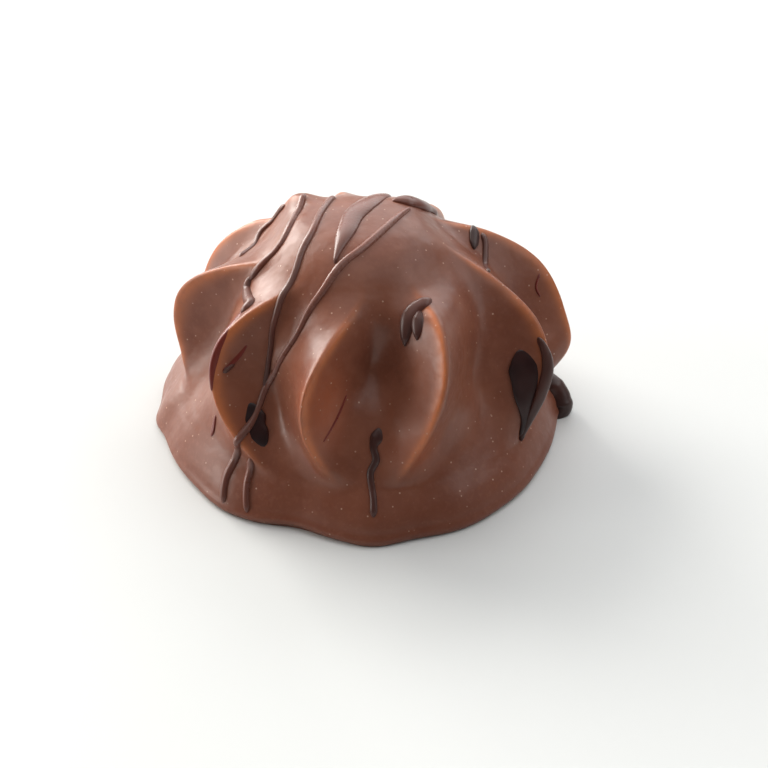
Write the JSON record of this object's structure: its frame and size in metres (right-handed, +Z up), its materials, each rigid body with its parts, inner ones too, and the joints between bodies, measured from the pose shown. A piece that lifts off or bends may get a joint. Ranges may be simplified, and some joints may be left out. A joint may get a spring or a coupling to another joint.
{
  "type": "chocolate-coated nougat star cookie",
  "caption": "Round biscuit base with a piped nougat star on top, coated in milk chocolate and drizzled with thin dark chocolate strands.",
  "frame": {"origin": "middle of the flat base that the cookie stands on", "axes": "+Z up through the crown; -Y towards the side with the two close front ridges and the deep hollow between them"},
  "size_m": [0.0443, 0.0432, 0.0254],
  "materials": {
    "milk_chocolate": "satin",
    "dark_chocolate": "satin"
  },
  "bodies": {
    "root": {"coated_cookie": "milk_chocolate"}
  },
  "joints": []
}
